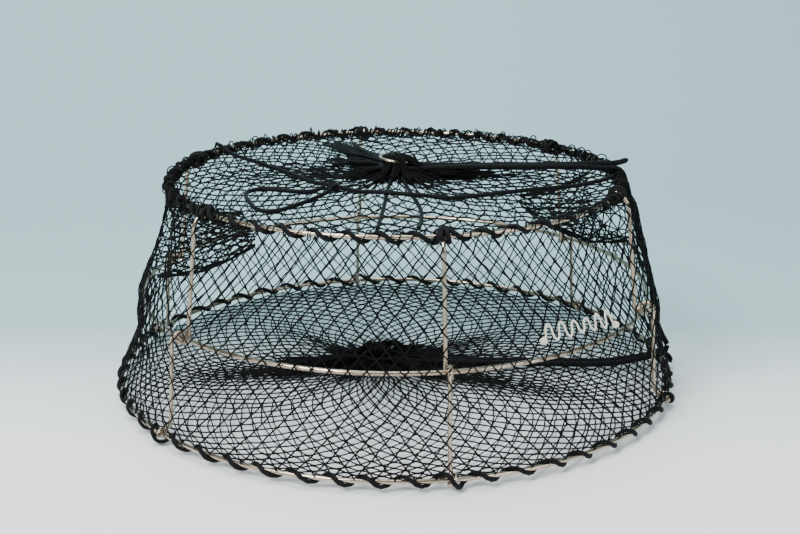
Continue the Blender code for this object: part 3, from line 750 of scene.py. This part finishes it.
def funnel(name, azimuth, seed):
    """Loops that go from the mouth's oval to the slit's, each point in a straight line."""
    rng = np.random.default_rng(seed)
    rows, meshes = 7, 24
    k = np.arange(rows + 1)[:, None]
    turn = 2 * np.pi * (np.arange(meshes)[None] + k / 2) / meshes
    share = k / rows + 0 * turn
    wide, tall = np.cos(turn), np.sin(turn)
    wide, tall = np.sign(wide) * abs(wide) ** 0.6, np.sign(tall) * abs(tall) ** 0.6
    z = (MOUTH_LOW + MOUTH_HIGH) / 2 + tall * (MOUTH_HIGH - MOUTH_LOW) / 2
    mouth = at(side_radius(z, azimuth + wide * MOUTH_HALF), azimuth + wide * MOUTH_HALF, z)
    outwards, along = at(1, azimuth, 0), np.array((math.cos(azimuth), math.sin(azimuth), 0))
    slit = (SLIT_R * outwards + (wide * SLIT_HALF_WIDE)[..., None] * along
            + (SLIT_Z + tall * SLIT_HALF_TALL)[..., None] * (0, 0, 1))
    loops = mouth * (1 - share[..., None]) + slit * share[..., None]
    loops[..., 2] -= FUNNEL_SAG * np.sin(np.pi * share) * (1 - 0.4 * tall)
    loops += rng.normal(0, 0.8 * MM, loops.shape) * np.sin(np.pi * share)[..., None]
    net(name, "waist", [diamond_mesh(loops, rng, 0.05)], squashed=True)


funnel("entrance_right", MOUTH_AZIMUTHS[0], 41)
funnel("entrance_left", MOUTH_AZIMUTHS[1], 43)


# Gathers. Where the drawcord pulls a net together: its meshes bunch into folds round the neck
# and spread from it in thick, uneven tails that lie on the net.
def tails(centre, neck, bundles, floor_z, rng):
    """Strands from the neck (radius, height) to each bundle's end, (azimuth, half width, reach,
    how many, hump), their middle points lifted by the hump and shaken sideways."""
    every = []
    for place, half_width, reach, many, hump in bundles:
        share = np.linspace(0, 1, 6)[None]
        aim = np.radians(place + rng.uniform(-1, 1, (many, 1)) * half_width * (0.35 + 0.65 * share))
        out = neck[0] + (reach - neck[0]) * share * rng.uniform(0.45, 1, (many, 1))
        lift = hump * np.sin(np.pi * share ** 0.7) * rng.uniform(0, 1, (many, 1))
        high = neck[1] * (1 - share) ** 1.5 + lift
        lines = at(out * MM, aim, floor_z + (0.6 + high) * MM) + np.array((*centre[:2], 0))
        shake = rng.normal(0, 1.3 * MM, lines.shape) * (1, 1, 0.5)
        lines += shake * np.sin(np.pi * share * 0.5)[..., None]
        lines[..., 2] = np.maximum(lines[..., 2], floor_z + 0.4 * MM)
        every.append(loose(lines, 14))
    return tubes(np.concatenate(every), 0.5 * TWINE, TWINE_SIDES, (0.1, 0.2, 0.97))


def gather(name, centre, body, seed, meshes, bundles, over):
    """A folded core, r(z) (1 + 0.14 cos(11 a) + ...), under strands that follow its outline,
    with the tails; `over` are strands through given points, (points, how many, shake)."""
    rng = np.random.default_rng(seed)
    heights = np.array([0.4, 1.6, 4, 8, 11, 13.5, 17, 21, 23])
    outline = np.array([26, 23, 16, 9.6, 8.8, 9.4, 12.4, 11.5, 5])
    fine = np.linspace(0, 1, 40)
    z = np.interp(fine, np.linspace(0, 1, 9), heights) * MM
    r = np.interp(fine, np.linspace(0, 1, 9), outline) * MM
    turn = 2 * np.pi * np.arange(72) / 72
    fold = (1 + 0.14 * np.cos(11 * turn[None] + 5 * fine[:, None])
            + 0.08 * np.cos(17 * turn[None] + 1.7)
            + 0.08 * np.cos(5 * turn[None] - 4 * fine[:, None]))
    line = np.zeros((1, 40, 3))
    line[0, :, 2] = z
    core = tubes(line + np.array(centre), (0.86 * r[:, None] * fold)[None], 72, (1, 0, 0))
    leaves = []
    for twist in (1, -1):
        lean = rng.uniform(0.2, 0.9, (meshes, 1))
        uneven = rng.uniform(-0.4, 0.4, (meshes, 1))
        azimuth = 2 * np.pi * (np.arange(meshes)[:, None] + uneven) / meshes
        azimuth = azimuth + twist * lean * fine[None]
        out = r[None] * rng.uniform(0.95, 1.22, (meshes, 1))
        out = out + rng.normal(0, 0.6 * MM, (meshes, 40))
        leaf = at(out, azimuth, z[None] + 0 * out) + np.array(centre)
        leaves.append(tubes(leaf[:, ::2], 0.5 * TWINE, TWINE_SIDES, (0.1, 0.2, 0.97)))
    leaves.append(tails(centre, (11, 8), bundles, centre[2], rng))
    for points, many, shake in over:
        bunch = np.array(points, float)[None] + rng.normal(0, shake, (many, len(points), 3))
        bunch[..., 2] = np.maximum(bunch[..., 2], 1)
        bunch = loose(bunch * MM + np.array(centre), 20)
        leaves.append(tubes(bunch, 0.5 * TWINE, TWINE_SIDES, (0.1, 0.9, 0.3)))
    made = solid(name, *joined(core, *leaves))
    made.data.materials.append(net_twine)
    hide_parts(name)
    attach(made, body)


gather("bottom_gather", (-20 * MM, 5 * MM, FLOOR_Z), "base", 51, 44, [
    (-84, 15, 118, 110, 6), (-138, 18, 74, 50, 5), (92, 9, 120, 90, 6), (128, 20, 84, 60, 6),
    (0, 60, 40, 50, 4), (-48, 18, 60, 40, 4), (66, 12, 96, 60, 4),
], [
    ([(0, 0, 18), (8, 4, 24), (22, 8, 20), (34, 6, 10), (48, 2, 4)], 26, 2.2),
    ([(0, 0, 18), (-6, 2, 22), (-18, 4, 15), (-30, 2, 7), (-46, 6, 3)], 20, 2.2),
])
gather("top_gather", (0, 0, top_z + 0.6 * MM), "lid", 53, 40, [
    (92, 7, 110, 70, 4), (-156, 7, 190, 130, 5), (-138, 14, 110, 60, 4), (0, 50, 46, 50, 3),
    (-96, 30, 64, 44, 3), (48, 26, 54, 40, 4), (180, 40, 40, 24, 3),
], [
    ([(2, 0, 13), (3, -1, 20), (14, -6, 20.5), (24, -9, 13), (40, -8, 7), (72, -6, 4)], 46, 1.7),
    ([(0, 0, 13), (2, -3, 20), (6, -15, 19), (10, -25, 9), (14, -38, 3)], 40, 1.9),
    ([(0, 0, 13), (2, -3, 19), (1, -15, 18), (0, -24, 8), (-4, -34, 3)], 30, 1.7),
    ([(0, 0, 13), (-2, -4, 19), (-6, -13, 17), (-12, -22, 7), (-20, -34, 2)], 22, 1.7),
])


# Draw ring. A small ring of 3 mm steel wire that the top gather is drawn through, a little tilted.
DRAW_RING_R, DRAW_RING_TILT = 16 * MM, math.radians(8)
turn = 2 * np.pi * np.arange(96) / 96
centre = np.stack([DRAW_RING_R * np.cos(turn), DRAW_RING_R * np.sin(turn),
                   top_z + 19 * MM - DRAW_RING_R * np.cos(turn) * math.tan(DRAW_RING_TILT)], -1)
draw_ring = solid("draw_ring", *tubes(centre[None], 1.5 * MM, 12, (0, 0, 1), closed=True))
draw_ring.data.materials.append(steel_wire)
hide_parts("draw_ring")
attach(draw_ring, "neck_ring")


# Escape lacing. Undyed cotton twine that sews up the escape slit with a zigzag, knotted at
# both ends; it rots through if the trap is lost.
cotton = twisted("cotton_twine", 3 * MM, (0.74, 0.68, 0.53, 1), (1.0, 0.97, 0.86, 1))
LACING_START, LACING_END, STITCHES = math.radians(30), math.radians(50.5), 6
LACING_R = 0.95 * MM
share = np.linspace(0, 1, 480)
azimuth = LACING_START + (LACING_END - LACING_START) * share
wave = np.arccos(0.985 * np.cos(2 * np.pi * STITCHES * share)) / (0.5 * np.pi) - 1
azimuth = azimuth + 0.004 * np.sin(2 * np.pi * STITCHES * 2 * share)
z = middle_z + (24.5 - 5 * share + (7.4 + 1.0 * np.sin(9 * share)) * wave) * MM
line = at(side_radius(z, azimuth) + 3.2 * MM, azimuth, z)
strand = 1 + 0.12 * np.cos(3 * 2 * np.pi * np.arange(9) / 9 - share[:, None] * 260)
lacing = [tubes(line[None], (LACING_R * strand)[None], 9, at(1, azimuth, 0)[None])]
for end in (0, -1):
    turn = np.linspace(0, 2 * np.pi, 120, endpoint=False)
    wound = np.stack([(1.9 + 0.8 * np.cos(3 * turn)) * np.cos(2 * turn), 1.2 * np.sin(3 * turn),
                      (1.9 + 0.8 * np.cos(3 * turn)) * np.sin(2 * turn)], -1) * MM
    lacing.append(tubes((wound + line[end])[None], 1.1 * MM, 8, (0.2, 1, 0.1), closed=True))
escape_lacing = solid("escape_lacing", *joined(*lacing))
escape_lacing.data.materials.append(cotton)
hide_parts("escape_lacing")
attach(escape_lacing, "waist")


# Floor and backdrop, one sheet that curves up behind the trap, in a pale studio.
def backdrop():
    """y runs back from the front edge; z is 0 up to 0.75 m behind the trap's middle, then a
    quarter round of 0.9 m radius, then straight up to 4 m."""
    turn = np.linspace(0, np.pi / 2, 24)
    y = np.concatenate([[-4.0, 0.0], 0.75 + 0.9 * np.sin(turn), [1.65]])
    z = np.concatenate([[0.0, 0.0], 0.9 - 0.9 * np.cos(turn), [4.0]])
    x = np.linspace(-4, 4, 2)
    grid = np.stack(np.broadcast_arrays(x[None], y[:, None], z[:, None]), -1)
    index = np.arange(len(y) * 2).reshape(-1, 2)
    quads = np.stack([index[:-1, 0], index[:-1, 1], index[1:, 1], index[1:, 0]], -1)
    return grid.reshape(-1, 3), [quads]


floor = solid("floor", *backdrop())
material, shader, start = finish("studio_floor")
depth = two_axes(start, 3)[1]
back = start.node("ShaderNodeMapRange", i0=depth, i1=-0.3, i2=1.0, i3=0.0, i4=1.0)
colour = start.node("ShaderNodeValToRGB", {"stops": [
    (0.06, (0.945, 0.955, 0.975, 1)), (0.17, (0.81, 0.88, 0.89, 1)),
    (0.23, (0.655, 0.75, 0.782, 1)), (0.28, (0.53, 0.66, 0.69, 1)),
    (0.34, (0.40, 0.565, 0.595, 1)), (0.85, (0.364, 0.538, 0.573, 1)),
]}, Fac=back)
material.node_tree.links.new(colour.socket, shader.inputs["Base Color"])
shader.inputs["Roughness"].default_value = 0.75
floor.data.materials.append(material)


def area_light(name, place, target, size, power):
    light = bpy.data.lights.new(name, "AREA")
    light.shape, light.size, light.energy = "DISK", size, power
    lamp = bpy.data.objects.new(name, light)
    bpy.context.scene.collection.objects.link(lamp)
    toward = np.array(target, float) - np.array(place, float)
    toward /= np.linalg.norm(toward)
    flat = np.cross(toward, (0, 0, 1))
    flat /= np.linalg.norm(flat)
    turned = np.eye(4)
    turned[:3] = np.stack([flat, np.cross(flat, toward), -toward, place], -1)
    lamp.matrix_world = Matrix(turned)


area_light("key", (-1.3, -1.5, 2.2), (0, 0, 0.1), 1.2, 86)
area_light("fill", (1.8, -1.6, 1.5), (0, 0, 0.1), 1.6, 20)
area_light("top", (-0.2, 0.4, 2.6), (0, 0.2, 0.1), 1.6, 52)
world = bpy.data.worlds.new("studio")
world.use_nodes = True
world.node_tree.nodes["Background"].inputs["Color"].default_value = (0.72, 0.80, 0.83, 1)
world.node_tree.nodes["Background"].inputs["Strength"].default_value = 0.6
bpy.context.scene.world = world
